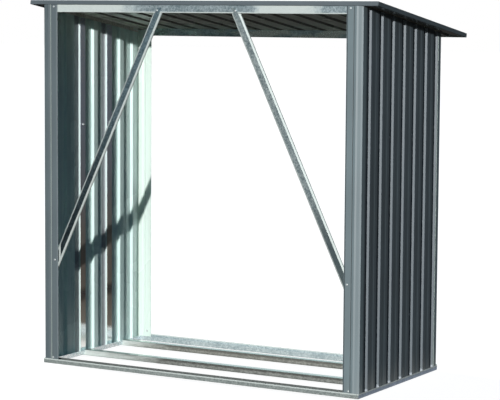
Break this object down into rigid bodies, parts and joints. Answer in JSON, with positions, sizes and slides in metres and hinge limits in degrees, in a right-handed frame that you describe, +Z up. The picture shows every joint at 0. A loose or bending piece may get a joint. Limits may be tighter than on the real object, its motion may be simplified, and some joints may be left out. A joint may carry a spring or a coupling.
{
  "type": "log store",
  "caption": "Open-fronted metal log store with corrugated side walls, a sloping corrugated roof on a folded steel frame, and leaning braces across the open front.",
  "frame": {"origin": "on the ground, under the middle of the roof in plan", "axes": "+X to the right seen from the front, +Y to the back, +Z up"},
  "size_m": [1.63, 0.8397, 1.5397],
  "materials": {
    "coated_sheet": "satin coil coating",
    "galvanised_steel": "zinc spangle"
  },
  "bodies": {
    "root": {"front_base_rail": "galvanised_steel", "rear_base_rail": "galvanised_steel", "left_base_rail": "galvanised_steel", "right_base_rail": "galvanised_steel", "front_floor_slat": "galvanised_steel", "rear_floor_slat": "galvanised_steel", "front_left_post": "coated_sheet", "front_right_post": "coated_sheet", "rear_left_post": "coated_sheet", "rear_right_post": "coated_sheet", "left_wall_front_sheet": "coated_sheet", "left_wall_middle_sheet": "coated_sheet", "left_wall_rear_sheet": "coated_sheet", "right_wall_front_sheet": "coated_sheet", "right_wall_middle_sheet": "coated_sheet", "right_wall_rear_sheet": "coated_sheet", "front_top_rail": "galvanised_steel", "rear_top_rail": "galvanised_steel", "left_top_rail": "galvanised_steel", "right_top_rail": "galvanised_steel", "left_brace": "galvanised_steel", "right_brace": "galvanised_steel", "roof_left_sheet": "coated_sheet", "roof_centre_left_sheet": "coated_sheet", "roof_centre_right_sheet": "coated_sheet", "roof_right_sheet": "coated_sheet", "front_roof_trim": "coated_sheet", "rear_roof_trim": "coated_sheet", "left_roof_trim": "coated_sheet", "right_roof_trim": "coated_sheet"}
  },
  "joints": []
}
